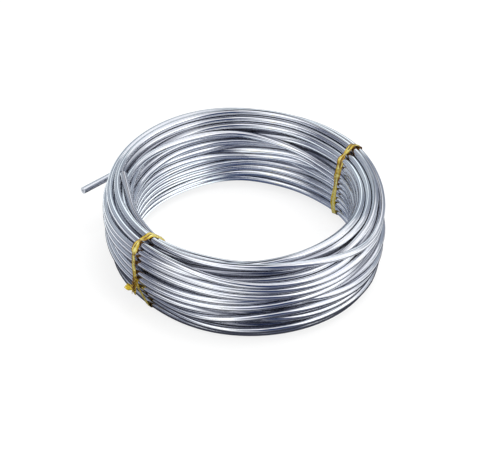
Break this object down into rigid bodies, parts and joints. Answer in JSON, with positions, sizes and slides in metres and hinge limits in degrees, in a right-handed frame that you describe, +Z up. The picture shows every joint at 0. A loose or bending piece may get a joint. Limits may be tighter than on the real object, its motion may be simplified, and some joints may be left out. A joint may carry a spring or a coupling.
{
  "type": "coil of aluminium wire",
  "caption": "Flat-lying round coil of bare round aluminium wire, bound by twist ties, with a straight outer end sprung free and a short inner end on top.",
  "frame": {"origin": "on the coil's axis, at the floor that it lies on", "axes": "+Z up along the coil's axis; X across the coil, with the free outer end on the -X side; the two ties stand near the X-Y diagonal"},
  "size_m": [0.1355, 0.125, 0.0402],
  "materials": {
    "wire": "bright drawn, bare",
    "tie": "metallic gold film over a thin steel core"
  },
  "bodies": {
    "root": {"wire": "wire", "twist_tie_front": "tie", "twist_tie_back": "tie"}
  },
  "joints": []
}
